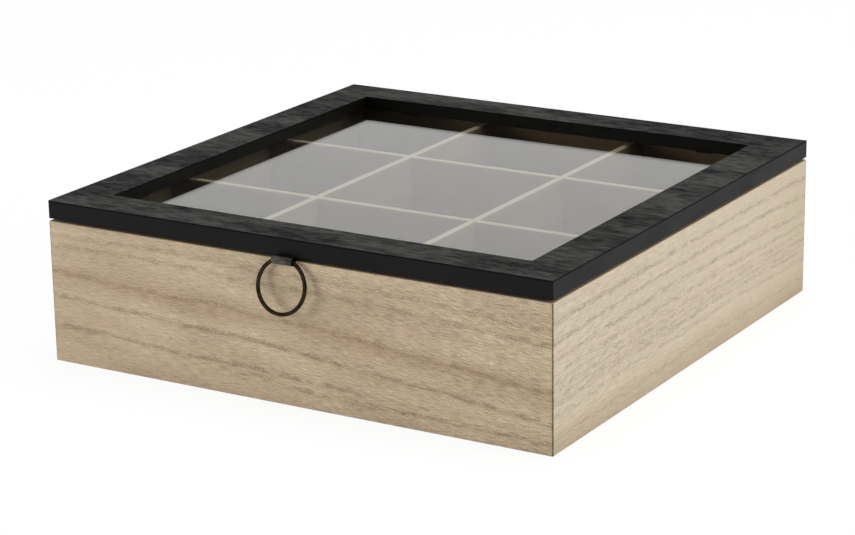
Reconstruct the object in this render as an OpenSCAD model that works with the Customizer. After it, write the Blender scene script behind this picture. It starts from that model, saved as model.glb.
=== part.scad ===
// Tea bag organizer box: nine compartments under a hinged lid with a glass pane and a ring pull
// Millimetres. The origin is the middle of the underside, +Z is up and the front faces -Y

/* [Box] */
// Outside width of the box
body_w = 240; // [190:1:320]
// Outside depth of the box, front to back
body_d = 240; // [190:1:320]
// Height of the walls, from the table to the rim
rim_h = 61.8; // [45:0.5:110]
// Thickness of the four wall boards
wall_t = 5; // [4.5:0.25:9]
// Thickness of the base panel
base_t = 3; // [2:0.25:6]
// Height of the base panel's underside above the table
base_recess = 3; // [2:0.25:8]
// Depth of the groove that holds the base panel
groove_depth = 2.5; // [1.5:0.25:3]
// Width of the sanded bevel on the edges of the boards
arris = 0.3; // [0.1:0.05:0.6]

/* [Dividers] */
// Thickness of the divider boards
divider_t = 3; // [2:0.25:5]
// How far the tops of the dividers lie below the rim
divider_drop = 0.5; // [0.3:0.1:10]

/* [Lid] */
// Thickness of the lid with its veneer
lid_t = 7.8; // [6:0.1:14]
// Width of the lid's rails, from the outer edge to the window
rail_w = 19.5; // [18:0.5:40]
// Thickness of the veneer on top of the lid
veneer_t = 0.6; // [0.4:0.1:1.2]
// Thickness of the glass pane
glass_t = 2; // [1.6:0.1:3]
// Width of the rebate that the pane lies in
rebate_w = 5; // [3.5:0.25:7]
// Radius that the cutter leaves in the rebate's corners
rebate_r = 3; // [1.5:0.25:5]

/* [Glass clips] */
// Thickness of a clip
clip_t = 0.6; // [0.4:0.05:0.8]
// Width of a clip
clip_w = 8; // [6:0.5:12]
// How far a clip reaches over the pane
clip_lap = 3.5; // [2:0.25:4.5]
// Distance from a clip's screw to the edge of the pane's rebate
clip_screw_in = 4.5; // [3:0.25:5.5]

/* [Hinges] */
// Distance from each side of the box to the middle of its hinge
hinge_in = 50; // [40:1:70]
// Length of a hinge's barrel
hinge_w = 24; // [18:0.5:32]
// Thickness of a hinge leaf
leaf_t = 0.48; // [0.4:0.02:0.8]
// Distance from a leaf's inner edge to the inside of the box wall
leaf_inset = 0.4; // [0.2:0.1:1]
// Outside diameter of the rolled knuckles
barrel_d = 3; // [2.6:0.1:4]
// Diameter of the hinge pin
pin_d = 1.2; // [1:0.05:1.6]
// Width of each stop lug, beside the barrel
lug_w = 2.4; // [1.5:0.1:4]
// Reach of the stop lugs from the hinge axis
lug_reach = 3.4; // [2.4:0.1:5]
// Angle at which the lugs stop the lid
stop_angle = 100; // [92:1:115]

/* [Ring pull] */
// Outside diameter of the ring
ring_d = 24; // [20:0.5:32]
// Diameter of the ring's wire
wire_d = 1.7; // [1.2:0.1:2.4]
// Width of the folded strap that holds the ring
strap_w = 9.6; // [6:0.2:12]
// Thickness of each of the strap's two plies
ply_t = 0.3; // [0.2:0.05:0.35]
// Length of the strap's tail under the lid
strap_tail = 14; // [12.5:0.25:16]
// Distance from the middle of the front to the middle of the pull
pull_x = -0.6; // [-20:0.1:20]
// Distance from the underside of the lid down to the axis of the strap's loop
loop_drop = 0.9; // [0.6:0.05:1.4]
// Angle between the hanging ring and the front wall
ring_lean = 11; // [0:1:20]

/* [Screws] */
// Shank diameter of every screw
screw_d = 1.6; // [1.2:0.1:1.8]
// Head diameter of the countersunk hinge screws
sunk_head_d = 2.8; // [2.4:0.1:3]
// Head height of the countersunk hinge screws
sunk_head_h = 0.6; // [0.5:0.05:0.8]
// Head diameter of the pan head screws
pan_head_d = 3.4; // [2.8:0.1:3.8]
// Head height of the pan head screws
pan_head_h = 1; // [0.7:0.1:1.2]
// Length of the screws that go down into the wall
wall_screw_l = 9; // [6:0.5:14]
// Length of the screws that go up into the lid
lid_screw_l = 5; // [4:0.25:5]

/* [Hidden] */

// Clearances
base_clear = 0.25;      // base panel to the bottom of its groove
groove_slack = 0.1;     // base panel to the top of its groove
end_clear = 0.3;        // divider end to the wall
slot_clear = 0.1;       // divider to each side of its slot
glass_clear = 0.3;      // pane to the side of its rebate
leaf_clear = 0.04;      // body leaf to lid leaf when the lid is shut
pin_clear = 0.03;       // pin to bore, on the radius
knuckle_gap = 0.1;      // knuckle to knuckle, along the axis
back_clear = 0.1;       // barrel to the back of the box
screw_clear = 0.03;     // screw to its hole, on the radius
fold_gap = 0.06;        // between the two plies of the strap
loop_clear = 0.05;      // ring wire to the inside of the strap's loop
front_clear = 0.1;      // strap's loop to the front of the lid

// Box
inner_w = body_w - 2 * wall_t;
inner_d = body_d - 2 * wall_t;
floor_z = base_recess + base_t;
pitch_x = (inner_w + divider_t) / 3;
pitch_y = (inner_d + divider_t) / 3;
divider_h = rim_h - divider_drop - floor_z;

// Lid: the doubled hinge leaves hold it off the rim
lid_gap = 2 * leaf_t + leaf_clear;
lid_z = rim_h + lid_gap;
top_z = lid_z + lid_t;
window_w = body_w - 2 * rail_w;
window_d = body_d - 2 * rail_w;
rebate_edge = rail_w - rebate_w;

// Hinges
hinge_x = body_w / 2 - hinge_in;
axis_y = body_d / 2 + barrel_d / 2 + back_clear;
axis_z = rim_h + lid_gap / 2;
axis_off = axis_y - body_d / 2;
leaf_d = wall_t - leaf_inset;
leaf_w = hinge_w + 2 * (knuckle_gap + lug_w);
knuckle_w = (hinge_w - 2 * knuckle_gap) / 3;
bore_d = pin_d + 2 * pin_clear;
hinge_screw_x = hinge_w / 2 - 3;
hinge_screw_y = -axis_off - leaf_d / 2;

// Ring pull: the loop is as wide as the curved wire needs inside the width of the strap
ring_r = (ring_d - wire_d) / 2;
wire_low = sqrt(pow(ring_r - wire_d / 2, 2) - pow(strap_w / 2, 2));
wire_high = ring_r + wire_d / 2;
loop_r = (wire_high - wire_low) / 2 + loop_clear;
strap_t = 2 * ply_t + fold_gap;
loop_y = -body_d / 2 - front_clear - loop_r - ply_t;
loop_z = lid_z - loop_drop;
ring_drop = (wire_high + wire_low) / 2;
strap_screw_y = -body_d / 2 + strap_tail - 3.4;
strap_screw_x = strap_w / 4;

wood = "#cbb896";
pale_wood = "#dccdb0";
black = "#262626";
bronze = "#3a322b";
steel = "#8f8f8c";
small = 0.01;

$fn = 48;

// A rectangle with round corners, as exact arcs
module round_rect(w, d, r) {
    square([w - 2 * r, d], center = true);
    square([w, d - 2 * r], center = true);
    for (x = [-1, 1], y = [-1, 1])
        translate([x * (w / 2 - r), y * (d / 2 - r)])
            circle(r = r);
}

// A rectangle with its four corners cut off at 45 degrees
module cut_rect(w, d, cut) {
    polygon([for (x = [-1, 1], y = [-x, x], k = [0, 1])
        let (along = (x * y < 0) == (k == 0))
        [x * (w / 2 - (along ? cut : 0)), y * (d / 2 - (along ? 0 : cut))]]);
}

// Runs a section along X: its x becomes Y and its y becomes Z
module run_x(length) {
    rotate([90, 0, 90])
        linear_extrude(height = length, center = true)
            children();
}

// Section of a wall board, outer face on the left, with its bevels and the base groove
module wall_section() {
    polygon([
        [arris, 0], [wall_t - arris, 0], [wall_t, arris],
        [wall_t, base_recess], [wall_t - groove_depth, base_recess],
        [wall_t - groove_depth, floor_z + groove_slack], [wall_t, floor_z + groove_slack],
        [wall_t, rim_h - arris], [wall_t - arris, rim_h], [arris, rim_h],
        [0, rim_h - arris], [0, arris]]);
}

// Plan of a mitred board, its outer face on the X axis
module mitre_plan(length) {
    half = length / 2;
    polygon([
        [arris - half, 0], [half - arris, 0], [half - arris / 2, arris / 2],
        [half - wall_t, wall_t], [wall_t - half, wall_t], [arris / 2 - half, arris / 2]]);
}

// A wall board with its mitred ends, outer face towards -Y at Y = 0
module wall_board(length) {
    intersection() {
        run_x(length)
            wall_section();
        linear_extrude(height = rim_h)
            mitre_plan(length);
    }
}

module front_wall() {
    color(wood)
        translate([0, -body_d / 2, 0])
            wall_board(body_w);
}

module back_wall() {
    color(wood)
        difference() {
            rotate([0, 0, 180])
                translate([0, -body_d / 2, 0])
                    wall_board(body_w);
            at_hinges()
                at_hinge_screws()
                    mirror([0, 0, 1])
                        sunk_hole(wall_screw_l);
        }
}

module left_wall() {
    color(wood)
        rotate([0, 0, -90])
            translate([0, -body_w / 2, 0])
                wall_board(body_d);
}

module right_wall() {
    color(wood)
        rotate([0, 0, 90])
            translate([0, -body_w / 2, 0])
                wall_board(body_d);
}

// The base panel lies in the grooves of all four walls
module base_panel() {
    color(pale_wood)
        translate([0, 0, base_recess])
            linear_extrude(height = base_t)
                square([inner_w + 2 * (groove_depth - base_clear),
                        inner_d + 2 * (groove_depth - base_clear)], center = true);
}

// A divider board along X, with two slots from one edge down to half its height
module divider(length, pitch, slots_on_top) {
    slot_h = divider_h / 2 + small;
    difference() {
        translate([0, 0, floor_z + divider_h / 2])
            run_x(length - 2 * end_clear)
                cut_rect(divider_t, divider_h, arris);
        for (side = [-1, 1])
            translate([side * pitch / 2, 0, floor_z + (slots_on_top ? divider_h / 2 : -small)])
                translate([0, 0, (slot_h + (slots_on_top ? 0 : small)) / 2])
                    cube([divider_t + 2 * slot_clear, 2 * divider_t,
                          slot_h + (slots_on_top ? 0 : small)], center = true);
    }
}

// side -1 is the front one, 1 the rear one
module divider_long(side) {
    color(pale_wood)
        translate([0, side * pitch_y / 2, 0])
            divider(inner_w, pitch_x, true);
}

// side -1 is the left one, 1 the right one
module divider_cross(side) {
    color(pale_wood)
        translate([side * pitch_x / 2, 0, 0])
            rotate([0, 0, 90])
                divider(inner_d, pitch_y, false);
}

// Copies its children to both hinge axes, or to one: side -1 is the left one, 1 the right one
module at_hinges(sides = [-1, 1]) {
    for (side = sides)
        translate([side * hinge_x, axis_y, axis_z])
            children();
}

// The two screw places of a leaf, on the plane between the leaves
module at_hinge_screws() {
    for (side = [-1, 1])
        translate([side * hinge_screw_x, hinge_screw_y, 0])
            children();
}

// Countersunk screw pointing up, its head flush with the leaf's free face
module sunk_screw(length) {
    translate([0, 0, leaf_clear / 2]) {
        cylinder(h = sunk_head_h, d1 = sunk_head_d, d2 = screw_d);
        cylinder(h = length - screw_d, d = screw_d);
        translate([0, 0, length - screw_d])
            cylinder(h = screw_d, d1 = screw_d, d2 = screw_d / 4);
    }
}

// The hole for a countersunk screw, a little wider and longer
module sunk_hole(length) {
    wide = 2 * screw_clear;
    translate([0, 0, leaf_clear / 2 - small])
        cylinder(h = sunk_head_h + small, d1 = sunk_head_d + wide, d2 = screw_d + wide);
    cylinder(h = length + leaf_clear, d = screw_d + wide);
}

// Pan head screw pointing up, the underside of its head at Z = 0
module pan_screw(length) {
    mirror([0, 0, 1]) {
        cylinder(h = pan_head_h / 2, d = pan_head_d);
        translate([0, 0, pan_head_h / 2])
            cylinder(h = pan_head_h / 2, d1 = pan_head_d, d2 = pan_head_d * 0.6);
    }
    cylinder(h = length - screw_d, d = screw_d);
    translate([0, 0, length - screw_d])
        cylinder(h = screw_d, d1 = screw_d, d2 = screw_d / 4);
}

// The hole for a pan head screw's shank
module pan_hole(length) {
    translate([0, 0, -small])
        cylinder(h = length + 2 * small, d = screw_d + 2 * screw_clear);
}

// A flat stretch of leaf from y0 to y1 and x0 to x1, above the parting plane
module leaf_plate(x0, x1, y0, y1) {
    translate([x0, y0, leaf_clear / 2])
        cube([x1 - x0, y1 - y0, leaf_t]);
}

// A rolled knuckle and the strip that joins it to its leaf, bored for the pin
module knuckle(x0, x1) {
    difference() {
        union() {
            translate([x0, 0, 0])
                rotate([0, 90, 0])
                    cylinder(h = x1 - x0, d = barrel_d);
            leaf_plate(x0, x1, -axis_off - small, 0);
        }
        translate([x0 - 1, 0, 0])
            rotate([0, 90, 0])
                cylinder(h = x1 - x0 + 2, d = bore_d);
    }
}

// The leaf under the lid: one knuckle in the middle and two upright stop lugs
module lid_leaf() {
    // the rear face of a lug lies on a plane through the hinge axis
    lean = lug_reach * cos(stop_angle);
    rise = lug_reach * sin(stop_angle);
    face_x = leaf_clear / 2 / tan(stop_angle);
    difference() {
        union() {
            leaf_plate(-leaf_w / 2, leaf_w / 2, -axis_off - leaf_d, -axis_off);
            for (side = [-1, 1])
                translate([side * (leaf_w - lug_w) / 2, 0, 0])
                    run_x(lug_w)
                        polygon([
                            [-axis_off - small, leaf_clear / 2], [face_x, leaf_clear / 2],
                            [lean, rise], [back_clear / 2 - axis_off, rise],
                            [back_clear / 2 - axis_off, leaf_clear / 2 + leaf_t],
                            [-axis_off - small, leaf_clear / 2 + leaf_t]]);
        }
        at_hinge_screws()
            sunk_hole(lid_screw_l);
    }
    knuckle(-knuckle_w / 2, knuckle_w / 2);
}

// The leaf on the rim: two outer knuckles and two flat tabs that the lugs land on
module body_leaf() {
    mirror([0, 0, 1]) {
        difference() {
            union() {
                leaf_plate(-leaf_w / 2, leaf_w / 2, -axis_off - leaf_d, -axis_off);
                for (side = [-1, 1])
                    translate([side * (leaf_w - lug_w) / 2, 0, 0])
                        leaf_plate(-lug_w / 2, lug_w / 2, -axis_off - small, lug_reach);
            }
            at_hinge_screws()
                sunk_hole(wall_screw_l);
        }
        for (side = [0, 1])
            mirror([side, 0, 0])
                knuckle(knuckle_w / 2 + knuckle_gap, hinge_w / 2);
    }
}

// side -1 is the left hinge, 1 the right one
module hinge_body_leaf(side) {
    color(bronze)
        at_hinges([side])
            body_leaf();
}

module hinge_lid_leaf(side) {
    color(bronze)
        at_hinges([side])
            lid_leaf();
}

// The pin fills the barrel and has a small bevel at each end
module hinge_pin(side) {
    color(steel)
        at_hinges([side])
            run_pin();
}

module run_pin() {
    bevel = pin_d / 6;
    rotate([0, 90, 0]) {
        cylinder(h = hinge_w - 2 * bevel, d = pin_d, center = true);
        for (end = [0, 1])
            mirror([0, 0, end])
                translate([0, 0, hinge_w / 2 - bevel])
                    cylinder(h = bevel, d1 = pin_d, d2 = pin_d - 2 * bevel);
    }
}

module hinge_body_screws() {
    color(steel)
        at_hinges()
            at_hinge_screws()
                mirror([0, 0, 1])
                    sunk_screw(wall_screw_l);
}

module hinge_lid_screws() {
    color(steel)
        at_hinges()
            at_hinge_screws()
                sunk_screw(lid_screw_l);
}

// The block of the lid's outer shape from Z = 0 up to h, bevelled at its bottom edges
module lid_block(h) {
    intersection() {
        linear_extrude(height = h)
            cut_rect(body_w, body_d, arris);
        run_x(body_w)
            bevelled_below(body_d, h);
        rotate([0, 0, 90])
            run_x(body_d)
                bevelled_below(body_w, h);
    }
}

// A section of width w and height h whose two bottom corners are bevelled
module bevelled_below(w, h) {
    half = w / 2;
    polygon([[arris - half, 0], [half - arris, 0], [half, arris],
        [half, h], [-half, h], [-half, arris]]);
}

// Copies its children to the places of the glass clips, over the middles of the outer
// compartments: X along the side, -Y outwards, the edge of the pane's rebate at Y = 0
module at_clips() {
    for (turn = [0:3], place = [-1, 1]) {
        along = turn % 2 == 0 ? pitch_x : pitch_y;
        reach = (turn % 2 == 0 ? body_d : body_w) / 2 - rebate_edge;
        rotate([0, 0, 90 * turn])
            translate([place * along, -reach, lid_z])
                children();
    }
}

// Frame of the lid: one board with the window cut through and a rebate from below
module lid_frame() {
    board_h = lid_t - veneer_t;
    color(black)
        difference() {
            translate([0, 0, lid_z])
                lid_block(board_h);
            translate([0, 0, lid_z - 1])
                linear_extrude(height = board_h + 2)
                    square([window_w, window_d], center = true);
            translate([0, 0, lid_z - 1])
                linear_extrude(height = glass_t + 1)
                    round_rect(body_w - 2 * rebate_edge, body_d - 2 * rebate_edge, rebate_r);
            at_hinges()
                at_hinge_screws()
                    sunk_hole(lid_screw_l);
            at_clips()
                translate([0, -clip_screw_in, 0])
                    pan_hole(lid_screw_l - clip_t);
            at_strap_screws()
                pan_hole(lid_screw_l);
        }
}

// Veneer sheet over the whole top, with the same window
module lid_veneer() {
    color("#3c3c3c")
        translate([0, 0, top_z - veneer_t])
            linear_extrude(height = veneer_t)
                difference() {
                    cut_rect(body_w, body_d, arris);
                    square([window_w, window_d], center = true);
                }
}

// The pane lies in the rebate; its corners are cut to clear the cutter's radius
module glass_pane() {
    color("#a9b2b0", 0.5)
        translate([0, 0, lid_z])
            linear_extrude(height = glass_t)
                cut_rect(body_w - 2 * (rebate_edge + glass_clear),
                         body_d - 2 * (rebate_edge + glass_clear), rebate_r);
}

// A flat clip with a round outer end, its screw hole in the middle of the round
module glass_clips() {
    color(bronze)
        at_clips()
            translate([0, 0, -clip_t])
                linear_extrude(height = clip_t)
                    difference() {
                        union() {
                            translate([-clip_w / 2, -clip_screw_in])
                                square([clip_w, clip_screw_in + clip_lap]);
                            translate([0, -clip_screw_in])
                                circle(d = clip_w);
                        }
                        translate([0, -clip_screw_in])
                            circle(d = screw_d + 2 * screw_clear);
                    }
}

module clip_screws() {
    color(steel)
        at_clips()
            translate([0, -clip_screw_in, -clip_t])
                pan_screw(lid_screw_l);
}

// Copies its children to the strap's two screws, at the underside of the lid
module at_strap_screws() {
    for (side = [-1, 1])
        translate([pull_x + side * strap_screw_x, strap_screw_y, lid_z])
            children();
}

// Sheet folded double: two plies lie under the lid and part into a loop round the ring's wire
module ring_strap() {
    tail_y = -body_d / 2 + strap_tail;
    tail_z = lid_z - strap_t;
    color(black)
        difference() {
            translate([pull_x, 0, 0])
                run_x(strap_w)
                    difference() {
                        union() {
                            translate([loop_y, loop_z])
                                circle(r = loop_r + ply_t);
                            translate([loop_y, tail_z])
                                square([tail_y - loop_y, strap_t]);
                        }
                        translate([loop_y, loop_z])
                            circle(r = loop_r);
                        translate([loop_y, tail_z + ply_t])
                            square([tail_y - loop_y + 1, fold_gap]);
                    }
            at_strap_screws()
                translate([0, 0, -strap_t - 1])
                    cylinder(h = strap_t + 2, d = screw_d + 2 * screw_clear);
        }
}

module strap_screws() {
    color(steel)
        at_strap_screws()
            translate([0, 0, -strap_t])
                pan_screw(lid_screw_l + strap_t);
}

// Plain round ring, hanging from the loop of the strap at a small angle to the wall
module pull_ring() {
    color(bronze)
        translate([pull_x, loop_y, loop_z])
            rotate([-ring_lean, 0, 0])
                translate([0, 0, -ring_drop])
                    rotate([90, 0, 0])
                        rotate_extrude()
                            translate([ring_r, 0])
                                circle(d = wire_d, $fn = 32);
}

front_wall();
back_wall();
left_wall();
right_wall();
base_panel();
divider_long(-1);  // divider_long_front
divider_long(1);  // divider_long_rear
divider_cross(-1);  // divider_cross_left
divider_cross(1);  // divider_cross_right
hinge_body_leaf(-1);  // hinge_left_body_leaf
hinge_lid_leaf(-1);  // hinge_left_lid_leaf
hinge_pin(-1);  // hinge_left_pin
hinge_body_leaf(1);  // hinge_right_body_leaf
hinge_lid_leaf(1);  // hinge_right_lid_leaf
hinge_pin(1);  // hinge_right_pin
hinge_body_screws();
hinge_lid_screws();
lid_frame();
lid_veneer();
glass_pane();
glass_clips();
clip_screws();
ring_strap();
strap_screws();
pull_ring();
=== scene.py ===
"""Looks of the tea bag organizer box: wood, black veneer, glass, metal, studio and camera.

Lengths are in millimetres in the sizes and patterns and in metres in the meshes.
X is to the right, Y to the hinged back and Z up, with the origin under the middle of the box.
"""
import logging
from dataclasses import dataclass, replace
from enum import Enum
from typing import Any

import bpy
import numpy as np
from mathutils import Matrix, Vector


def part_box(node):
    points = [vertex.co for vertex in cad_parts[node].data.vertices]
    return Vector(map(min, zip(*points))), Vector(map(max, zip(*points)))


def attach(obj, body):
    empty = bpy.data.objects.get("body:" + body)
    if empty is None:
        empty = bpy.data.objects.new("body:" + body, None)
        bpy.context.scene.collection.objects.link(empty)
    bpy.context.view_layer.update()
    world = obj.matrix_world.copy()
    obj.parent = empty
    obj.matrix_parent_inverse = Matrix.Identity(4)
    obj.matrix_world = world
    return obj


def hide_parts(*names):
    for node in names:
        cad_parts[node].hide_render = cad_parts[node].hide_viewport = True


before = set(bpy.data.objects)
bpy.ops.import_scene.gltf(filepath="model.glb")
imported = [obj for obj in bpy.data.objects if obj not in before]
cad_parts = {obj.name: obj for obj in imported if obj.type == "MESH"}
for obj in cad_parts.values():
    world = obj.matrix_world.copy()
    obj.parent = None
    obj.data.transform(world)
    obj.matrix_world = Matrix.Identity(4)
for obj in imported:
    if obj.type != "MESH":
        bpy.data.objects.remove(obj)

LOG = logging.getLogger("tea_box")
MM = 0.001
WHITE = (1.0, 1.0, 1.0, 1.0)


class Body(Enum):
    """The three rigid bodies that a piece can move with."""

    BOX = "box"
    LID = "lid"
    RING = "ring"


class Grain(Enum):
    """Turn about Z, in degrees, that brings a board's length onto X."""

    ALONG_X = 0.0
    ALONG_Y = 90.0


class Kind(Enum):
    """The shader nodes that the finishes are made of."""

    PLACE = "ShaderNodeTexCoord"
    MAPPING = "ShaderNodeMapping"
    VECTOR = "ShaderNodeVectorMath"
    SPLIT = "ShaderNodeSeparateXYZ"
    JOIN = "ShaderNodeCombineXYZ"
    MATHS = "ShaderNodeMath"
    RANGE = "ShaderNodeMapRange"
    MIX = "ShaderNodeMix"
    GREY = "ShaderNodeCombineColor"
    NOISE = "ShaderNodeTexNoise"
    CELLS = "ShaderNodeTexVoronoi"
    BUMP = "ShaderNodeBump"
    PATH = "ShaderNodeLightPath"
    SURFACE = "ShaderNodeBsdfPrincipled"
    DIFFUSE = "ShaderNodeBsdfDiffuse"
    CLEAR = "ShaderNodeBsdfTransparent"
    GLOW = "ShaderNodeEmission"
    SHADERS = "ShaderNodeMixShader"
    SKY = "ShaderNodeBackground"
    OUTPUT = "ShaderNodeOutputMaterial"
    WORLD = "ShaderNodeOutputWorld"


def srgb(code: str) -> tuple[float, float, float, float]:
    """Turns an sRGB hex value into linear light.

    Args:
        code: The colour as "#rrggbb".

    Returns:
        Linear red, green and blue, and an alpha of 1.
    """
    parts = np.array([int(code[i:i + 2], 16) for i in (1, 3, 5)]) / 255.0
    linear = np.where(parts <= 0.04045, parts / 12.92, ((parts + 0.055) / 1.055) ** 2.4)
    return (*(float(c) for c in linear), 1.0)


def add_node(tree: bpy.types.NodeTree, kind: Kind, *values: Any,
             named: dict[str, Any] | None = None, **settings: Any) -> bpy.types.Node:
    """Adds one node, sets it and links it.

    Args:
        tree: The tree that the node goes into.
        kind: Which node it is.
        *values: What its inputs hold, in their order: a value, a socket, or a node, whose
            first output in use is taken.
        named: What further inputs hold, by name.
        **settings: Properties of the node, set first.

    Returns:
        The new node.
    """
    node = tree.nodes.new(kind.value)
    for name, value in settings.items():
        setattr(node, name, value)
    in_use = [socket for socket in node.inputs if socket.enabled]
    given = list(zip(in_use, values))
    given += [(node.inputs[name], value) for name, value in (named or {}).items()]
    for socket, value in given:
        if isinstance(value, bpy.types.Node):
            value = next(output for output in value.outputs if output.enabled)
        if isinstance(value, bpy.types.NodeSocket):
            tree.links.new(value, socket)
        else:
            socket.default_value = value
    return node


def new_material(name: str) -> tuple[bpy.types.Material, bpy.types.NodeTree]:
    """Makes an empty node material.

    Args:
        name: The material's name.

    Returns:
        The material and its node tree.
    """
    material = bpy.data.materials.new(name)
    material.use_nodes = True
    material.node_tree.nodes.clear()
    return material, material.node_tree


def millimetres(tree: bpy.types.NodeTree, grain: Grain = Grain.ALONG_X) -> bpy.types.Node:
    """Object coordinates in millimetres, with the grain turned onto X.

    Args:
        tree: The material's tree.
        grain: Which way the grain runs.

    Returns:
        The node that gives the vector.
    """
    place = add_node(tree, Kind.PLACE).outputs["Object"]
    return add_node(tree, Kind.MAPPING, place, (0.0, 0.0, 0.0),
                    (0.0, 0.0, float(np.radians(-grain.value))), (1.0 / MM,) * 3)


def streaks(tree: bpy.types.NodeTree, place: Any, size_mm: tuple[float, float, float],
            seed: float = 0.0, detail: float = 2.0, roughness: float = 0.5,
            low: float = 0.35, high: float = 0.65) -> bpy.types.Node:
    """Noise stretched to streaks of a real size, spread over 0 to 1.

    Args:
        tree: The material's tree.
        place: A vector in millimetres.
        size_mm: Length of one streak along X, Y and Z.
        seed: Moves the pattern, so that like pieces differ.
        detail: Octaves of finer noise.
        roughness: Weight of the finer octaves.
        low: Noise value that becomes 0; the noise lies about 0.5.
        high: Noise value that becomes 1.

    Returns:
        The node that gives the value.
    """
    scaled = add_node(tree, Kind.VECTOR, place, tuple(1.0 / size for size in size_mm),
                      (seed, 1.7 * seed, 2.3 * seed), operation="MULTIPLY_ADD")
    noise = add_node(tree, Kind.NOISE, scaled, 1.0, detail, roughness)
    return add_node(tree, Kind.RANGE, noise, low, high, 0.0, 1.0,
                    interpolation_type="SMOOTHSTEP")


def weighted(tree: bpy.types.NodeTree, *parts: tuple[Any, float], start: float = 0.0) -> Any:
    """Adds values, each times its weight, to a start value.

    Args:
        tree: The material's tree.
        *parts: Pairs of a value and its weight.
        start: The number that the sum starts from.

    Returns:
        The node that gives the sum.
    """
    total: Any = start
    for value, weight in parts:
        total = add_node(tree, Kind.MATHS, value, weight, total, operation="MULTIPLY_ADD")
    return total


def farthest_side(tree: bpy.types.NodeTree) -> bpy.types.Node:
    """The greater of |x| and |y| in millimetres, for bands along the sides of the square box.

    Args:
        tree: The material's tree.

    Returns:
        The node that gives the distance.
    """
    size = add_node(tree, Kind.VECTOR, millimetres(tree), operation="ABSOLUTE")
    parts = add_node(tree, Kind.SPLIT, size)
    return add_node(tree, Kind.MATHS, parts.outputs["X"], parts.outputs["Y"],
                    operation="MAXIMUM")


@dataclass(frozen=True)
class GrowthLine:
    """One growth line on a board's face, by its heights at both ends and in the middle.

    Attributes:
        left: Height at the board's left end, in millimetres.
        middle: Height in the middle.
        right: Height at the right end.
        pores: How dark the line's row of pores is.
        band: How brown the wood beside the line is.
        band_mm: Width over which that brown fades; below the line where it is negative.
        begins: Place along the board where the line comes up.
        ends: Place along the board where it has faded.
    """

    left: float
    middle: float
    right: float
    pores: float = 1.0
    band: float = 0.0
    band_mm: float = -3.0
    begins: float | None = None
    ends: float | None = None


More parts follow.
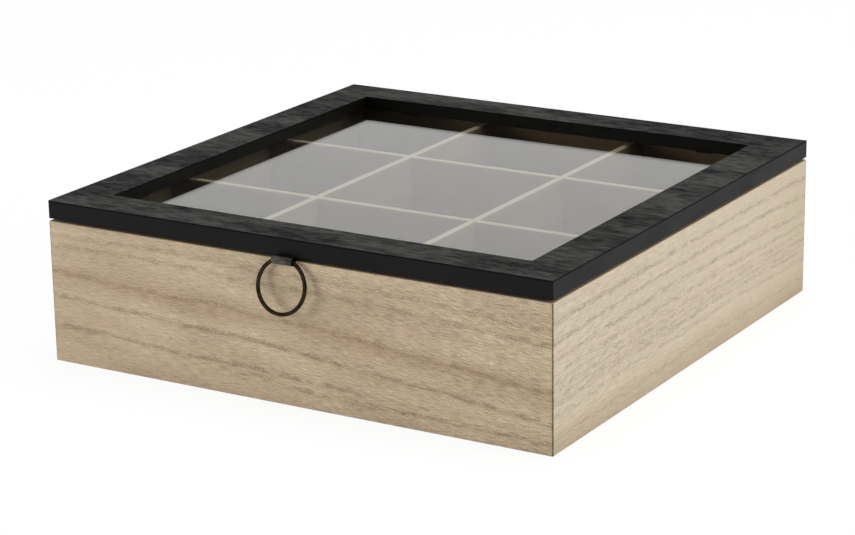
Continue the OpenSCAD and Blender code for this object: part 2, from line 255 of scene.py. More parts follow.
@dataclass(frozen=True)
class BoardWood:
    """Paulownia board, planed and left dry: matt, pale and soft, with rows of dark pores.

    The eye sees thin broken brown lines along the board, soft brown bands beside some of
    them, and a fine mottle of short fibres.

    Attributes:
        name: The material's name.
        grain: Which way the board runs.
        pale: Colour of most of the wood.
        grey: Colour of its greyish patches.
        rosy: Colour of its rosy patches.
        brown: Colour of the bands beside the growth lines.
        pore: Colour of the pores.
        lines: The growth lines on its outer face.
        flow: The curve that fibres and pores run along.
        rim_mm: Height of the board's upper edge.
        half_mm: Half the board's length.
        seed: Moves every pattern, so that boards differ.
        wander_mm: How far the growth lines stray from their curves.
        fibre: How much the fibres darken the wood.
        streaky: How brown the long streaks between the lines are.
        pore_share: How dark the large pores are.
        speck_share: How dark the small pores are.
        foot_brown_and_shade: How brown the wood is at the board's foot: partly its own brown
            and partly painted shade near the floor.
        end_shade: How brown painted shade makes the board's right end.
        crowding: Share of cells with a large pore away from the lines, and what a line adds.
        speck_crowding: The same for small pores.
        detail: Strength of fibres and small pores at the left and at the right end.
        inner_shade: Colour of the inside face, darker than the outer face as painted shade.
        rim: Colour of the upper edge, darkened as painted shade of the narrow gap under the
            lid.
        joint: Colour of the glue line at a corner.
        wall_mm: Thickness of the board.
        foot_mm: Height up to which the foot is browner.
        end_shade_mm: Places along the board where that painted shade starts and where it is
            full.
        near_mm: Distances from a line where its neighbourhood ends and where it is full.
        core_mm: The same for the line's dark core.
        fade_mm: Length over which a line comes up or fades.
        soft_mm: Half the width of the soft edge between a line and its brown band.
        detail_mm: How far from the middle the detail reaches its two end values.
        pore_mm: Length and height of a cell with one large pore.
        speck_mm: Length and height of a cell with one small pore.
        dash: Distance from a pore's point where it ends and where it is full, in cells.
        faintest: Depth of the faintest pore; the deepest is 1.
    """

    name: str
    grain: Grain
    pale: str
    grey: str
    rosy: str
    brown: str
    pore: str
    lines: tuple[GrowthLine, ...]
    flow: GrowthLine
    rim_mm: float
    half_mm: float
    seed: float = 0.0
    wander_mm: float = 1.6
    fibre: float = 0.19
    streaky: float = 0.1
    pore_share: float = 0.85
    speck_share: float = 0.38
    foot_brown_and_shade: float = 0.0
    end_shade: float = 0.0
    crowding: tuple[float, float] = (0.016, 0.62)
    speck_crowding: tuple[float, float] = (0.24, 0.1)
    detail: tuple[float, float] = (0.9, 1.45)
    inner_shade: str = "#927f63"
    rim: str = "#98836a"
    joint: str = "#4a3a28"
    wall_mm: float = 5.0
    foot_mm: float = 13.0
    end_shade_mm: tuple[float, float] = (70.0, 120.0)
    near_mm: tuple[float, float] = (1.5, 0.7)
    core_mm: tuple[float, float] = (0.7, 0.0)
    fade_mm: float = 12.0
    soft_mm: float = 0.5
    detail_mm: float = 100.0
    # real pores are finer than the render can show, so these are drawn about twice as coarse
    pore_mm: tuple[float, float] = (2.3, 0.62)
    speck_mm: tuple[float, float] = (2.2, 0.48)
    dash: tuple[float, float] = (0.5, 0.36)
    faintest: float = 0.45

    def above(self, tree: bpy.types.NodeTree, along: Any, level: Any,
              line: GrowthLine) -> bpy.types.Node:
        """Distance above a line: the level less a parabola through the line's three heights.

        Args:
            tree: The material's tree.
            along: Place along the board.
            level: Height on the board.
            line: The line.

        Returns:
            The node that gives the distance in millimetres.
        """
        slope = (line.right - line.left) / (2 * self.half_mm)
        bend = (line.right + line.left - 2 * line.middle) / (2 * self.half_mm ** 2)
        path = add_node(tree, Kind.MATHS, along, -bend, -slope, operation="MULTIPLY_ADD")
        path = add_node(tree, Kind.MATHS, along, path, level, operation="MULTIPLY_ADD")
        return add_node(tree, Kind.MATHS, path, line.middle, operation="SUBTRACT")

    def shown(self, tree: bpy.types.NodeTree, along: Any, line: GrowthLine) -> Any:
        """How dark a line's pores are along the board.

        Args:
            tree: The material's tree.
            along: Place along the board.
            line: The line.

        Returns:
            The share, which fades out where the line begins or ends on the board.
        """
        share: Any = line.pores
        for place, fade in ((line.begins, self.fade_mm), (line.ends, -self.fade_mm)):
            if place is not None:
                part = add_node(tree, Kind.RANGE, along, place, place + fade, 0.0, 1.0)
                share = add_node(tree, Kind.MATHS, share, part, operation="MULTIPLY")
        return share

    def gather(self, tree: bpy.types.NodeTree, before: Any, away: Any, shown: Any,
               reach_mm: tuple[float, float]) -> bpy.types.Node:
        """Adds one line to those gathered before it.

        Args:
            tree: The material's tree.
            before: The share from the lines before.
            away: Distance from the line.
            shown: How dark the line is here.
            reach_mm: Distances where the line's share ends and where it is full.

        Returns:
            The node that gives the greater share.
        """
        share = add_node(tree, Kind.RANGE, away, *reach_mm, 0.0, 1.0,
                         interpolation_type="SMOOTHSTEP")
        share = add_node(tree, Kind.MATHS, share, shown, operation="MULTIPLY")
        return add_node(tree, Kind.MATHS, before, share, operation="MAXIMUM")

    def band(self, tree: bpy.types.NodeTree, over: Any, line: GrowthLine,
             brown: Any) -> bpy.types.Node:
        """Adds the brown band beside a line.

        Args:
            tree: The material's tree.
            over: Distance above the line.
            line: The line.
            brown: How brown the wood is without the band.

        Returns:
            The node that gives how brown the wood is.
        """
        side = float(np.copysign(self.soft_mm, line.band_mm))
        fade = add_node(tree, Kind.RANGE, over, line.band_mm, side, 0.0, 1.0,
                        interpolation_type="SMOOTHSTEP")
        edge = add_node(tree, Kind.RANGE, over, -side, side, 0.0, line.band,
                        interpolation_type="SMOOTHSTEP")
        return add_node(tree, Kind.MATHS, fade, edge, brown, operation="MULTIPLY_ADD")

    def growth(self, tree: bpy.types.NodeTree, along: Any,
               level: Any) -> tuple[Any, Any, Any]:
        """All growth lines together.

        Args:
            tree: The material's tree.
            along: Place along the board.
            level: Height on the board, with its wander.

        Returns:
            How near the nearest line is, how dark the lines' cores are, and how brown the
            wood is, each about 0 to 1.
        """
        near: Any = 0.0
        core: Any = 0.0
        # the foot is browned, partly as the wood's own tone and partly as painted shade near
        # the floor
        foot = add_node(tree, Kind.RANGE, level, self.foot_mm, 0.0, 0.0, self.foot_brown_and_shade)
        # painted shade: the right end is browned where the light falls off
        end = add_node(tree, Kind.RANGE, along, *self.end_shade_mm, 0.0, self.end_shade)
        brown = weighted(tree, (foot, 1.0), (end, 1.0))
        for line in self.lines:
            over = self.above(tree, along, level, line)
            away = add_node(tree, Kind.MATHS, over, operation="ABSOLUTE")
            shown = self.shown(tree, along, line)
            near = self.gather(tree, near, away, shown, self.near_mm)
            core = self.gather(tree, core, away, shown, self.core_mm)
            if line.band:
                brown = self.band(tree, over, line, brown)
        return near, core, brown

    def pores(self, tree: bpy.types.NodeTree, along: Any, flow: Any, near: Any,
              size_mm: tuple[float, float], crowding: tuple[float, float]) -> bpy.types.Node:
        """Pores: short dashes along the flow of the grain, crowded at the growth lines.

        Each cell of a stretched flat cell pattern holds one dash round its point, and keeps
        it where the cell's random number is below the crowding.

        Args:
            tree: The material's tree.
            along: Place along the board.
            flow: Height above the flow of the grain.
            near: Nearness of a growth line.
            size_mm: Length and height of a cell.
            crowding: Share of cells with a pore far from a line, and what a line adds.

        Returns:
            The node that gives the share of pore.
        """
        place = add_node(tree, Kind.JOIN, along, flow)
        place = add_node(tree, Kind.VECTOR, place, (1 / size_mm[0], 1 / size_mm[1], 1.0),
                         (self.seed, self.seed, 0.0), operation="MULTIPLY_ADD")
        cells = add_node(tree, Kind.CELLS, place, voronoi_dimensions="2D")
        dash = add_node(tree, Kind.RANGE, cells.outputs["Distance"], *self.dash, 0.0, 1.0)
        chance = add_node(tree, Kind.SPLIT, cells.outputs["Color"])
        crowd = weighted(tree, (near, crowding[1]), start=crowding[0])
        kept = add_node(tree, Kind.MATHS, chance.outputs["X"], crowd, operation="LESS_THAN")
        depth = weighted(tree, (chance.outputs["Y"], 1.0 - self.faintest), start=self.faintest)
        dash = add_node(tree, Kind.MATHS, dash, kept, operation="MULTIPLY")
        return add_node(tree, Kind.MATHS, dash, depth, operation="MULTIPLY")

    def tone(self, tree: bpy.types.NodeTree, grain: Any, near: Any,
             brown: Any) -> bpy.types.Node:
        """Colour of the wood before fibres and pores.

        It is pale, greyish and rosy in patches, with brown in bands and long streaks.

        Args:
            tree: The material's tree.
            grain: Place along, across and above the flow of the grain.
            near: Nearness of a growth line.
            brown: How brown the bands make the wood.

        Returns:
            The node that gives the colour.
        """
        patches = streaks(tree, grain, (60.0, 20.0, 14.0), self.seed + 3.0)
        blush = streaks(tree, grain, (24.0, 12.0, 6.0), self.seed + 7.0, low=0.45, high=0.75)
        broad = streaks(tree, grain, (42.0, 4.0, 1.9), self.seed + 5.0, 3.0, 0.6)
        wood = add_node(tree, Kind.MIX, patches, srgb(self.pale), srgb(self.grey),
                        data_type="RGBA")
        wood = add_node(tree, Kind.MIX, blush, wood, srgb(self.rosy), data_type="RGBA")
        brown = weighted(tree, (broad, self.streaky), (near, 0.04), (brown, 1.0))
        brown = add_node(tree, Kind.RANGE, brown, 0.0, 1.0, 0.0, 1.0)
        return add_node(tree, Kind.MIX, brown, wood, srgb(self.brown), data_type="RGBA")

    def make(self) -> bpy.types.Material:
        """Builds the wood's material.

        Returns:
            The material.
        """
        material, tree = new_material(self.name)
        place = millimetres(tree, self.grain)
        parts = add_node(tree, Kind.SPLIT, place)
        along, across, up = (parts.outputs[axis] for axis in "XYZ")
        # every line wanders by the same slow and quick noise
        slow = streaks(tree, place, (70.0, 30.0, 22.0), self.seed, low=0.25, high=0.75)
        quick = streaks(tree, place, (11.0, 6.0, 5.0), self.seed, low=0.2, high=0.8)
        level = weighted(tree, (up, 1.0), (slow, self.wander_mm), (quick, 0.5 * self.wander_mm),
                         start=-0.75 * self.wander_mm)
        near, core, brown = self.growth(tree, along, level)
        flow = self.above(tree, along, level, self.flow)
        grain = add_node(tree, Kind.JOIN, along, across, flow)
        wood = self.tone(tree, grain, near, brown)
        detail = add_node(tree, Kind.RANGE, along, -self.detail_mm, self.detail_mm,
                          *self.detail)
        # fibres darken the wood more than they lighten it
        fibres = streaks(tree, grain, (5.0, 0.6, 0.36), self.seed, 1.0, 0.5, 0.3, 0.7)
        shade = add_node(tree, Kind.RANGE, fibres, 0.0, 1.0, -self.fibre, 0.7 * self.fibre)
        shade = add_node(tree, Kind.MATHS, shade, detail, 1.0, operation="MULTIPLY_ADD")
        shade = add_node(tree, Kind.GREY, shade, shade, shade)
        wood = add_node(tree, Kind.MIX, 1.0, wood, shade, data_type="RGBA",
                        blend_type="MULTIPLY")
        # pores crowd in clumps along the growth lines
        clumps = streaks(tree, grain, (7.0, 2.5, 2.0), self.seed + 9.0, 2.0, 0.5, 0.38, 0.6)
        crowd = weighted(tree, (clumps, 0.8), start=0.2)
        crowd = add_node(tree, Kind.MATHS, near, crowd, operation="MULTIPLY")
        large = self.pores(tree, along, flow, crowd, self.pore_mm, self.crowding)
        speck = self.pores(tree, along, flow, crowd, self.speck_mm, self.speck_crowding)
        core = add_node(tree, Kind.MATHS, core, clumps, operation="MULTIPLY")
        cover = weighted(tree, (core, 0.08 * self.pore_share), (speck, self.speck_share))
        cover = add_node(tree, Kind.MATHS, cover, detail, operation="MULTIPLY")
        cover = weighted(tree, (cover, 1.0), (large, self.pore_share))
        cover = add_node(tree, Kind.RANGE, cover, 0.0, 0.9, 0.0, 0.9)
        wood = add_node(tree, Kind.MIX, cover, wood, srgb(self.pore), data_type="RGBA")
        wood = self.edges(tree, wood, up)
        relief = weighted(tree, (large, -0.8), (speck, -0.4), (fibres, 0.35))
        bump = add_node(tree, Kind.BUMP, named={"Height": relief, "Strength": 0.35,
                                                "Distance": 0.1 * MM})
        gloss = add_node(tree, Kind.RANGE, fibres, 0.0, 1.0, 0.6, 0.74)
        surface = add_node(tree, Kind.SURFACE, named={
            "Base Color": wood, "Roughness": gloss, "Normal": bump, "Specular IOR Level": 0.25})
        add_node(tree, Kind.OUTPUT, surface)
        return material

    def edges(self, tree: bpy.types.NodeTree, wood: Any, up: Any) -> bpy.types.Node:
        """Inside face and rim, darkened as painted shade, and the corner joint, which is darker
        than the face.

        The corner is where |x| + |y| reaches twice the half length; noise frays its line.

        Args:
            tree: The material's tree.
            wood: The colour of the face.
            up: The height.

        Returns:
            The node that gives the colour.
        """
        inner_mm = self.half_mm - self.wall_mm
        # painted shade: the inside faces get a darker colour than the outer face of the same
        # board, standing in for the shade inside the closed box
        inside = add_node(tree, Kind.RANGE, farthest_side(tree), inner_mm + 1.0,
                          inner_mm + 0.2, 0.0, 0.75)
        wood = add_node(tree, Kind.MIX, inside, wood, srgb(self.inner_shade), data_type="RGBA")
        # painted shade: the rim's top lies in the dark gap under the lid, so it is darkened
        top = add_node(tree, Kind.RANGE, up, self.rim_mm - 0.25, self.rim_mm - 0.05, 0.0, 0.9)
        wood = add_node(tree, Kind.MIX, top, wood, srgb(self.rim), data_type="RGBA")
        place = millimetres(tree)
        size = add_node(tree, Kind.SPLIT, add_node(tree, Kind.VECTOR, place,
                                                   operation="ABSOLUTE"))
        fray = streaks(tree, place, (3.0, 3.0, 1.6))
        reach = weighted(tree, (size.outputs["X"], 1.0), (size.outputs["Y"], 1.0), (fray, 0.12))
        corner_mm = 2 * self.half_mm
        line = add_node(tree, Kind.RANGE, reach, corner_mm - 0.55, corner_mm - 0.25, 0.0, 0.85)
        return add_node(tree, Kind.MIX, line, wood, srgb(self.joint), data_type="RGBA")


@dataclass(frozen=True)
class PlainWood:
    """Thin light wood, sanded: plain and matt, with faint straight grain.

    Attributes:
        name: The material's name.
        grain: Which way the grain runs.
        light: Colour of the pale wood.
        dark: Colour of the darker streaks.
        edge: Colour of the paler edge on top, where there is one: partly the cut edge's own
            colour, partly a painted highlight.
        top_mm: Height of that edge.
    """

    name: str
    grain: Grain
    light: str
    dark: str
    edge: str | None = None
    top_mm: float = 0.0

    def make(self) -> bpy.types.Material:
        """Builds the material.

        Returns:
            The material.
        """
        material, tree = new_material(self.name)
        place = millimetres(tree, self.grain)
        broad = streaks(tree, place, (80.0, 6.0, 5.0), 0.0, 3.0)
        fine = streaks(tree, place, (7.0, 0.6, 0.6), 0.0, 3.0)
        share = weighted(tree, (broad, 0.6), (fine, 0.4))
        wood = add_node(tree, Kind.MIX, share, srgb(self.light), srgb(self.dark),
                        data_type="RGBA")
        if self.edge is not None:
            # the top edge: partly the cut edge's paler colour, partly a painted highlight
            up = add_node(tree, Kind.SPLIT, place).outputs["Z"]
            top = add_node(tree, Kind.RANGE, up, self.top_mm - 0.32, self.top_mm - 0.22,
                           0.0, 1.0)
            wood = add_node(tree, Kind.MIX, top, wood, srgb(self.edge), data_type="RGBA")
        bump = add_node(tree, Kind.BUMP, named={"Height": fine, "Strength": 0.3,
                                                "Distance": 0.06 * MM})
        surface = add_node(tree, Kind.SURFACE, named={
            "Base Color": wood, "Normal": bump, "Roughness": 0.65, "Specular IOR Level": 0.25})
        add_node(tree, Kind.OUTPUT, surface)
        return material


@dataclass(frozen=True)
class StainedVeneer:
    """Open-pored veneer stained black: matt charcoal with short strokes of pore and fibre.

    Attributes:
        name: The material's name.
        ridge: Colour of the fibres that stand up.
        pore: Colour of the open pores.
        edge: Colour of the cut edge, darker than the face.
        top_mm: Height of the sheet's upper face.
        half_mm: Half the sheet's width.
    """

    name: str
    ridge: str
    pore: str
    edge: str
    top_mm: float
    half_mm: float

    def make(self) -> bpy.types.Material:
        """Builds the material.

        Returns:
            The material.
        """
        material, tree = new_material(self.name)
        place = millimetres(tree)
        clouds = streaks(tree, place, (50.0, 18.0, 18.0), 2.0, 2.0)
        blots = streaks(tree, place, (10.0, 3.6, 3.6), 5.0, 3.0, 0.6)
        strokes = streaks(tree, place, (6.0, 0.9, 0.9), 8.0, 3.0, 0.6)
        share = weighted(tree, (clouds, 0.36), (blots, 0.3), (strokes, 0.34))
        share = add_node(tree, Kind.RANGE, share, 0.15, 0.85, 0.0, 1.0)
        colour = add_node(tree, Kind.MIX, share, srgb(self.pore), srgb(self.ridge),
                          data_type="RGBA")
        dents = streaks(tree, place, (4.2, 0.9, 0.9), 4.0, 2.0, 0.5, 0.58, 0.66)
        colour = add_node(tree, Kind.MIX, weighted(tree, (dents, 0.7)), colour, srgb(self.pore),
                          data_type="RGBA")
        # the cut edge: a thin rim on top, and all of the side
        rim = add_node(tree, Kind.RANGE, farthest_side(tree), self.half_mm - 0.5,
                       self.half_mm - 0.25, 0.0, 1.0)
        up = add_node(tree, Kind.SPLIT, place).outputs["Z"]
        side = add_node(tree, Kind.RANGE, up, self.top_mm - 0.02, self.top_mm - 0.06, 0.0, 1.0)
        cut = add_node(tree, Kind.MATHS, rim, side, operation="MAXIMUM")
        colour = add_node(tree, Kind.MIX, cut, colour, srgb(self.edge), data_type="RGBA")
        bump = add_node(tree, Kind.BUMP, named={"Height": share, "Strength": 0.4,
                                                "Distance": 0.1 * MM})
        gloss = add_node(tree, Kind.RANGE, share, 0.0, 1.0, 0.72, 0.58)
        surface = add_node(tree, Kind.SURFACE, named={
            "Base Color": colour, "Roughness": gloss, "Normal": bump,
            "Specular IOR Level": 0.06})
        add_node(tree, Kind.OUTPUT, surface)
        return material


@dataclass(frozen=True)
class Lacquer:
    """Black lacquer rubbed matt on sanded fibreboard: even, deep black, with a faint peel.

    Attributes:
        name: The material's name.
        colour: Colour of the lacquer.
        worn: Colour where it is rubbed a little lighter.
        inner_shade: Colour round the window, darker than the rest as painted shade on the
            window's inside walls.
        window_mm: Half the window's width.
        roughness: Mean roughness.
    """

    name: str
    colour: str
    worn: str
    inner_shade: str
    window_mm: float
    roughness: float = 0.5

    def make(self) -> bpy.types.Material:
        """Builds the material.

        Returns:
            The material.
        """
        material, tree = new_material(self.name)
        place = millimetres(tree)
        peel = streaks(tree, place, (0.8, 0.8, 0.8))
        cloud = streaks(tree, place, (25.0, 25.0, 9.0), 0.0, 3.0, 0.5, 0.3, 0.8)
        colour = add_node(tree, Kind.MIX, cloud, srgb(self.colour), srgb(self.worn),
                          data_type="RGBA")
        # painted shade: the window's inside walls are darker than the rest of the lacquer
        inside = add_node(tree, Kind.RANGE, farthest_side(tree), self.window_mm + 2.0,
                          self.window_mm + 1.0, 0.0, 1.0)
        colour = add_node(tree, Kind.MIX, inside, colour, srgb(self.inner_shade), data_type="RGBA")
        bump = add_node(tree, Kind.BUMP, named={"Height": peel, "Strength": 0.12,
                                                "Distance": 0.03 * MM})
        gloss = add_node(tree, Kind.RANGE, cloud, 0.0, 1.0, self.roughness - 0.05,
                         self.roughness + 0.06)
        surface = add_node(tree, Kind.SURFACE, named={
            "Base Color": colour, "Roughness": gloss, "Normal": bump,
            "Specular IOR Level": 0.12})
        add_node(tree, Kind.OUTPUT, surface)
        return material


@dataclass(frozen=True)
class FloatGlass:
    """Clear float glass, 2 mm: a bright mirror at a low angle, with a faint warm body.

    Light from the lamps and soft light pass it straight, so that the inside is lit.

    Attributes:
        name: The material's name.
        tint: Colour of what is seen through it.
        passed: Share of the lamps' light that passes.
        held: Share of soft light that passes, low enough for a closed box to be dark inside.
        ior: Index of refraction.
    """

    name: str
    tint: str
    passed: str
    held: str
    ior: float = 1.5

    def make(self) -> bpy.types.Material:
        """Builds the material.

        Returns:
            The material.
        """
        material, tree = new_material(self.name)
        place = millimetres(tree)
        wipe = streaks(tree, place, (40.0, 30.0, 5.0), 0.0, 4.0, 0.5, 0.5, 0.9)
        gloss = add_node(tree, Kind.RANGE, wipe, 0.0, 1.0, 0.0, 0.015)
        glass = add_node(tree, Kind.SURFACE, named={
            "Base Color": srgb(self.tint), "Roughness": gloss, "IOR": self.ior,
            "Transmission Weight": 1.0})
        path = add_node(tree, Kind.PATH)
        share = add_node(tree, Kind.MIX, path.outputs["Is Diffuse Ray"], srgb(self.passed),
                         srgb(self.held), data_type="RGBA")
        clear = add_node(tree, Kind.CLEAR, share)
        passes = add_node(tree, Kind.MATHS, path.outputs["Is Shadow Ray"],
                          path.outputs["Is Diffuse Ray"], operation="MAXIMUM")
        add_node(tree, Kind.OUTPUT, add_node(tree, Kind.SHADERS, passes, glass, clear))
        return material


@dataclass(frozen=True)
class Metal:
    """Small steel parts: dark or plain metal with fine scratches and rubbed patches.

    Attributes:
        name: The material's name.
        colour: Colour of its coat, or of the bare steel.
        rubbed: Colour where it is rubbed bright.
        metallic: Share of bare metal.
        roughness: Mean roughness.
        patch_mm: Size of a rubbed patch.
    """

    name: str
    colour: str
    rubbed: str
    metallic: float
    roughness: float
    patch_mm: float = 2.5

    def make(self) -> bpy.types.Material:
        """Builds the material.

        Returns:
            The material.
        """
        material, tree = new_material(self.name)
        place = millimetres(tree)
        patches = streaks(tree, place, (self.patch_mm,) * 3, 0.0, 4.0)
        scratches = streaks(tree, place, (4.0, 0.3, 0.3))
        share = weighted(tree, (patches, 0.7), (scratches, 0.3))
        share = add_node(tree, Kind.RANGE, share, 0.2, 1.0, 0.0, 1.0)
        colour = add_node(tree, Kind.MIX, share, srgb(self.colour), srgb(self.rubbed),
                          data_type="RGBA")
        bump = add_node(tree, Kind.BUMP, named={"Height": scratches, "Strength": 0.15,
                                                "Distance": 0.02 * MM})
        gloss = add_node(tree, Kind.RANGE, patches, 0.0, 1.0, self.roughness - 0.08,
                         self.roughness + 0.1)
        surface = add_node(tree, Kind.SURFACE, named={
            "Base Color": colour, "Roughness": gloss, "Normal": bump,
            "Metallic": self.metallic})
        add_node(tree, Kind.OUTPUT, surface)
        return material


def dress(node: str, material: bpy.types.Material) -> None:
    """Gives a CAD node its material in every slot."""
    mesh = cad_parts[node].data
    mesh.materials.clear()
    mesh.materials.append(material)
    LOG.info("dressed %s in %s", node, material.name)


def new_piece(name: str, points: np.ndarray, faces: list[tuple[int, ...]] | np.ndarray,
              material: bpy.types.Material, body: Body,
              nodes: tuple[str, ...]) -> None:
    """Makes a mesh object that stands for CAD nodes.

    Args:
        name: The object's name.
        points: Array of shape (n, 3), in millimetres.
        faces: Corner indices of each face.
        material: Its material.
        body: The body it moves with.
        nodes: The CAD nodes it replaces.
    """
    mesh = bpy.data.meshes.new(name)
    mesh.from_pydata((np.asarray(points) * MM).tolist(), [], [tuple(f) for f in faces])
    mesh.polygons.foreach_set("use_smooth", np.ones(len(mesh.polygons), dtype=bool))
    mesh.materials.append(material)
    mesh.update()
    piece = bpy.data.objects.new(name, mesh)
    bpy.context.scene.collection.objects.link(piece)
    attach(piece, body.value)
    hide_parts(*nodes)
    LOG.info("made %s with %d faces for %s", name, len(mesh.polygons), ", ".join(nodes))


def ring_faces(rows: int, columns: int) -> np.ndarray:
    """Quads of a grid of points numbered row by row that closes on itself both ways.

    Args:
        rows: Number of rows of points; the last row joins the first.
        columns: Number of points in a row; its last point joins its first.

    Returns:
        Array of shape (faces, 4).
    """
    r, c = np.meshgrid(np.arange(rows), np.arange(columns), indexing="ij")
    r, c = r.ravel(), c.ravel()
    next_r, next_c = (r + 1) % rows, (c + 1) % columns
    return np.stack([r * columns + c, r * columns + next_c,
                     next_r * columns + next_c, next_r * columns + c], axis=1)


@dataclass
class BoxBody:
    """The open box: four mitred boards, the base in its grooves and the divider grid.

    Attributes:
        front_lines: Growth lines of the front and back boards.
        side_lines: Growth lines of the side boards.
        front_flow: Curve of the grain in the front and back boards.
        side_flow: Curve of the grain in the side boards.
    """

    # the front's one broad brown band lies on both sides of its line, which so comes twice
    front_lines: tuple[GrowthLine, ...] = (
        GrowthLine(56.2, 55.2, 50.5, pores=0.6, band=0.1, band_mm=-2.0),
        GrowthLine(51.7, 49.4, 44.6, pores=0.7, band=0.12, band_mm=3.0),
        GrowthLine(39.4, 35.4, 25.0, pores=0.65, band=0.42, band_mm=-9.0),
        GrowthLine(39.4, 35.4, 25.0, pores=0.0, band=0.32, band_mm=6.5),
        GrowthLine(29.2, 23.8, 13.0, band=0.2),
        GrowthLine(16.3, 12.8, 9.0, pores=0.95, band=0.15, ends=38.0),
        GrowthLine(11.5, 10.0, 6.5, pores=0.8, begins=-42.0, ends=-2.0),
        GrowthLine(11.0, 8.1, 4.6, band=0.12, begins=-14.0))
    side_lines: tuple[GrowthLine, ...] = (
        GrowthLine(52.8, 54.5, 53.2, pores=0.75, band=0.1, band_mm=3.0),
        GrowthLine(45.2, 47.3, 45.6, pores=0.8),
        GrowthLine(38.0, 40.2, 37.8, pores=0.8),
        GrowthLine(32.3, 34.2, 32.6, pores=0.6),
        GrowthLine(29.0, 30.2, 28.8, pores=0.4),
        GrowthLine(26.1, 27.6, 25.4, pores=0.6),
        GrowthLine(22.8, 24.8, 22.8, pores=0.5),
        GrowthLine(20.1, 22.3, 19.6, pores=0.7),
        GrowthLine(15.3, 17.4, 15.4, pores=0.5),
        GrowthLine(6.6, 7.2, 7.2, pores=0.3, band=0.12, band_mm=7.0))
    front_flow: GrowthLine = GrowthLine(5.0, 0.0, -9.0)
    side_flow: GrowthLine = GrowthLine(-1.2, 0.9, -1.2)

    def boards(self) -> None:
        """Dresses the four boards."""
        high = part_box("right_wall")[1] / MM
        front = BoardWood("paulownia_front", Grain.ALONG_X, "#d0bda1", "#bfac92", "#c9b299",
                          "#a38867", "#4a3014", self.front_lines, self.front_flow,
                          high.z, high.x)
        # painted shade: the side boards are browned at their right end, and at their foot
        # partly so
        right = BoardWood("paulownia_right", Grain.ALONG_Y, "#cdbfa9", "#cbbda7", "#cdbda9",
                          "#ad9b80", "#3a2b1a", self.side_lines, self.side_flow,
                          high.z, high.x, seed=11.0, fibre=0.09, pore_share=0.95,
                          speck_share=0.2, foot_brown_and_shade=0.6, end_shade=0.25,
                          crowding=(0.008, 0.66), detail=(1.6, 0.7))
        # painted shade: the left board's inside face is darkened further
        left = replace(right, name="paulownia_left", pale="#cdbfaa", grey="#cabfad",
                       rosy="#cdbcaa", seed=23.0, inner_shade="#483d30")
        back = replace(front, name="paulownia_back", pale="#c6b59a", grey="#c0b19b",
                       rosy="#c4b098", brown="#a38a69", pore="#3c2c1a", seed=37.0)
        for node, wood in (("front_wall", front), ("right_wall", right), ("left_wall", left),
                           ("back_wall", back)):
            dress(node, wood.make())

    def inside(self) -> None:
        """Dresses the dividers and the base."""
        for way, grain, sides in (("long", Grain.ALONG_X, ("front", "rear")),
                                  ("cross", Grain.ALONG_Y, ("left", "right"))):
            nodes = [f"divider_{way}_{side}" for side in sides]
            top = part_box(nodes[0])[1].z / MM
            # painted shade: the dividers' wood is darkened for the dark inside of the closed
            # box; their paler top edge is partly the cut edge and partly painted light from the
            # pane
            wood = PlainWood(f"divider_wood_shaded_{way}", grain, "#8c795d", "#7a674b",
                             edge="#e0d7c5", top_mm=top).make()
            for node in nodes:
                dress(node, wood)
        # painted shade: the base's wood is darkened too
        dress("base_panel",
              PlainWood("base_plywood_shaded", Grain.ALONG_X, "#a08c6c", "#8c7758").make())

    def build(self) -> None:
        """Dresses the boards, the base and the dividers."""
        self.boards()
        self.inside()


@dataclass
class Lid:
    """The black lid: its board, its veneer and its pane.

    Attributes:
        rail_mm: Width of the rails round the window.
    """

    rail_mm: float = 19.5

    def build(self) -> None:
        """Dresses the lid's nodes."""
        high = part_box("lid_veneer")[1] / MM
        window = high.x - self.rail_mm
        # the lacquer's third colour, round the window, is painted shade
        dress("lid_frame",
              Lacquer("black_lacquer", "#0f0f0f", "#151515", "#050403", window).make())
        dress("lid_veneer", StainedVeneer("black_veneer", "#3f3f3d", "#080808", "#0c0c0c",
                                          high.z, high.x).make())
        dress("glass_pane", FloatGlass("float_glass", "#f6f5f0", "#e4e2dc", "#4c4b49").make())


@dataclass
class Hardware:
    """Hinges, clips and screws."""

    def build(self) -> None:
        """Dresses the small metal nodes."""
        # pressed steel, blackened: dull, with brown shine where it is rubbed
        black = Metal("blackened_steel", "#1d1b19", "#4a443c", metallic=0.9,
                      roughness=0.42).make()
        # turned steel, left plain: bright grey points on the dark parts
        steel = Metal("plain_steel", "#8f8d88", "#b5b2ab", metallic=1.0, roughness=0.3).make()
        for side in ("left", "right"):
            dress(f"hinge_{side}_body_leaf", black)
            dress(f"hinge_{side}_lid_leaf", black)
            dress(f"hinge_{side}_pin", steel)
        dress("glass_clips", black)
        for node in ("hinge_body_screws", "hinge_lid_screws", "clip_screws", "strap_screws"):
            dress(node, steel)


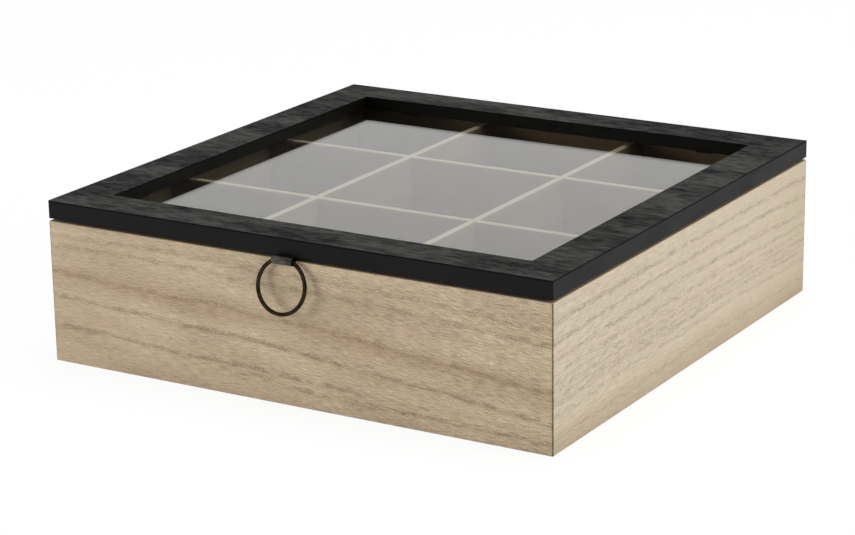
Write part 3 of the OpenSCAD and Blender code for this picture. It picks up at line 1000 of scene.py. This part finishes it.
@dataclass
class RingPull:
    """The wire ring and the folded strap that holds it.

    Attributes:
        wire_mm: Thickness of the wire.
        lean_deg: How far the ring leans off the wall.
        ring_steps: Points round the ring.
        wire_steps: Points round the wire.
    """

    wire_mm: float = 1.7
    lean_deg: float = 11.0
    ring_steps: int = 192
    wire_steps: int = 28

    def build(self) -> None:
        """Makes the ring and dresses the strap."""
        # drawn wire, browned: dark, with a thin brown shine along its round side
        browned = Metal("browned_steel_wire", "#271e16", "#433628", metallic=1.0,
                        roughness=0.4).make()
        new_piece("ring", self.ring_points(), ring_faces(self.ring_steps, self.wire_steps),
                  browned, Body.RING, ("pull_ring",))
        # folded strip, coated satin black: dark grey, with broad lighter patches
        satin = Metal("satin_black_steel", "#35332f", "#6a665f", metallic=0.85,
                      roughness=0.34, patch_mm=9.0).make()
        dress("ring_strap", satin)

    def ring_points(self) -> np.ndarray:
        """Points of the leaned ring, a torus round the middle of the CAD ring's box.

        At angle a round the ring and b round the wire, a point lies (middle + wire cos b)
        from the ring's middle and wire sin b off its plane. The ring is then turned about X
        by its lean, so that its bottom stands off the wall.

        Returns:
            Array of shape (n, 3), in millimetres.
        """
        low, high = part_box("pull_ring")
        centre = np.array((low + high) / 2 / MM)
        wire = self.wire_mm / 2
        middle = (high.x - low.x) / 2 / MM - wire
        a, b = np.meshgrid(np.linspace(0.0, 2 * np.pi, self.ring_steps, endpoint=False),
                           np.linspace(0.0, 2 * np.pi, self.wire_steps, endpoint=False),
                           indexing="ij")
        reach = middle + wire * np.cos(b)
        flat = np.stack([reach * np.sin(a), wire * np.sin(b), reach * np.cos(a)], axis=-1)
        lean = np.radians(self.lean_deg)
        turn = np.array([[1, 0, 0], [0, np.cos(lean), np.sin(lean)],
                         [0, -np.sin(lean), np.cos(lean)]])
        return (flat @ turn.T).reshape(-1, 3) + centre


def seen_directly(tree: bpy.types.NodeTree, mirror_share: float) -> bpy.types.Node:
    """1 for what the camera sees, also in mirrors and through glass, and 0 for soft light.

    Args:
        tree: The tree of the floor or the world.
        mirror_share: How much of that a mirror shows.

    Returns:
        The node that gives the share.
    """
    path = add_node(tree, Kind.PATH)
    mirrored = weighted(tree, (path.outputs["Is Glossy Ray"], mirror_share))
    seen = add_node(tree, Kind.MATHS, path.outputs["Is Camera Ray"], mirrored,
                    operation="MAXIMUM")
    return add_node(tree, Kind.MATHS, seen, path.outputs["Is Transmission Ray"],
                    operation="MAXIMUM")


@dataclass(frozen=True)
class SoftBox:
    """A soft lamp aimed at the box.

    Attributes:
        name: The lamp's name.
        place: Its middle, in metres.
        size: Its width and height, in metres.
        watts: Its power.
    """

    name: str
    place: tuple[float, float, float]
    size: tuple[float, float]
    watts: float


@dataclass
class Studio:
    """White floor, soft lamps, pale surroundings and the photograph's camera.

    Attributes:
        azimuth_deg: Turn of the camera about Z, from straight in front of the box.
        elevation_deg: Height of the camera above the horizon.
        roll_deg: Its turn about its own line of sight.
        distance_mm: Its distance from the origin along that line.
        right_mm: Its shift to its right.
        up_mm: Its shift upwards.
        lens_mm: Focal length.
        sensor_mm: Width of the sensor.
        clip_m: Nearest and farthest distance it sees.
        lamps: The soft lamps.
        aim_m: Height of the point that the lamps aim at.
        ambient: Strength of the surroundings as soft light.
        room_share: How much of their white a mirror shows; the room is a little dimmer.
        floor_size: Side of the floor, in metres.
        floor_glow: Brightness of the white that shows as floor.
        floor_share: How much of that white shows; the rest takes the box's shadow.
    """

    azimuth_deg: float = 31.028
    elevation_deg: float = 17.027
    roll_deg: float = -0.836
    distance_mm: float = 1195.87
    right_mm: float = -6.427
    up_mm: float = 25.01
    lens_mm: float = 114.2
    sensor_mm: float = 36.0
    clip_m: tuple[float, float] = (0.01, 50.0)
    lamps: tuple[SoftBox, ...] = (
        SoftBox("soft_box_right", (1.7, 0.1, 0.9), (1.2, 1.2), 19.5),
        SoftBox("soft_box_left", (-1.35, -1.45, 0.3), (0.9, 0.8), 19.0),
        SoftBox("soft_box_top", (0.0, 0.3, 1.9), (1.2, 1.2), 20.0))
    aim_m: float = 0.04
    ambient: float = 0.32
    room_share: float = 0.65
    floor_size: float = 6.0
    floor_glow: float = 1.03
    floor_share: float = 0.88

    def camera(self) -> None:
        """Sets the camera where the photograph was taken from.

        The camera looks along minus the back vector given by azimuth and elevation; right
        and up are square to it and rolled, and the camera stands off by distance, right and up.
        """
        a, e, roll = (float(np.radians(v)) for v in
                      (self.azimuth_deg, self.elevation_deg, self.roll_deg))
        back = Vector((np.sin(a) * np.cos(e), -np.cos(a) * np.cos(e), np.sin(e)))
        level = Vector((np.cos(a), np.sin(a), 0.0))
        upright = back.cross(level)
        right = level * np.cos(roll) + upright * np.sin(roll)
        up = upright * np.cos(roll) - level * np.sin(roll)
        place = (back * self.distance_mm + right * self.right_mm + up * self.up_mm) * MM
        data = bpy.data.cameras.new("photo_camera")
        data.sensor_width, data.lens = self.sensor_mm, self.lens_mm
        data.clip_start, data.clip_end = self.clip_m
        camera = bpy.data.objects.new("photo_camera", data)
        turn = Matrix((right, up, back)).transposed().to_4x4()
        camera.matrix_world = Matrix.Translation(place) @ turn
        bpy.context.scene.collection.objects.link(camera)
        bpy.context.scene.camera = camera

    def lamp(self, box: SoftBox) -> None:
        """Adds a soft lamp.

        Args:
            box: The lamp's values.
        """
        data = bpy.data.lights.new(box.name, "AREA")
        data.shape = "RECTANGLE"
        data.size, data.size_y = box.size
        data.energy = box.watts
        lamp = bpy.data.objects.new(box.name, data)
        lamp.location = box.place
        aim = Vector((0.0, 0.0, self.aim_m)) - lamp.location
        lamp.rotation_mode = "QUATERNION"
        lamp.rotation_quaternion = aim.to_track_quat("-Z", "Y")
        lamp.visible_glossy = False
        bpy.context.scene.collection.objects.link(lamp)

    def surroundings(self) -> None:
        """Pale world: white to the camera, in mirrors and through glass, dimmer as light."""
        world = bpy.data.worlds.new("studio")
        world.use_nodes = True
        tree = world.node_tree
        tree.nodes.clear()
        strength = add_node(tree, Kind.RANGE, seen_directly(tree, self.room_share), 0.0, 1.0,
                            self.ambient, 1.0)
        add_node(tree, Kind.WORLD, add_node(tree, Kind.SKY, WHITE, strength))
        bpy.context.scene.world = world

    def floor(self) -> None:
        """White paper floor that shows as white and keeps a faint shadow."""
        half = self.floor_size / 2
        mesh = bpy.data.meshes.new("studio_floor")
        mesh.from_pydata([(-half, -half, 0.0), (half, -half, 0.0), (half, half, 0.0),
                          (-half, half, 0.0)], [], [(0, 1, 2, 3)])
        floor = bpy.data.objects.new("studio_floor", mesh)
        bpy.context.scene.collection.objects.link(floor)
        material, tree = new_material("white_paper")
        paper = add_node(tree, Kind.DIFFUSE, srgb("#e6e6e4"))
        glow = add_node(tree, Kind.GLOW, WHITE, self.floor_glow)
        share = weighted(tree, (seen_directly(tree, 1.0), self.floor_share))
        add_node(tree, Kind.OUTPUT, add_node(tree, Kind.SHADERS, share, paper, glow))
        mesh.materials.append(material)

    def build(self) -> None:
        """Makes the camera, the lamps, the world and the floor."""
        self.camera()
        self.surroundings()
        for box in self.lamps:
            self.lamp(box)
        self.floor()
        bpy.context.scene.view_settings.view_transform = "Standard"
        LOG.info("studio ready")


def main() -> None:
    """Builds the looks around the frame, in order."""
    logging.basicConfig(level=logging.INFO, format="%(name)s: %(message)s")
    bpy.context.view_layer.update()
    for part in (BoxBody(), Lid(), Hardware(), RingPull(), Studio()):
        part.build()


if __name__ == "__main__":
    main()
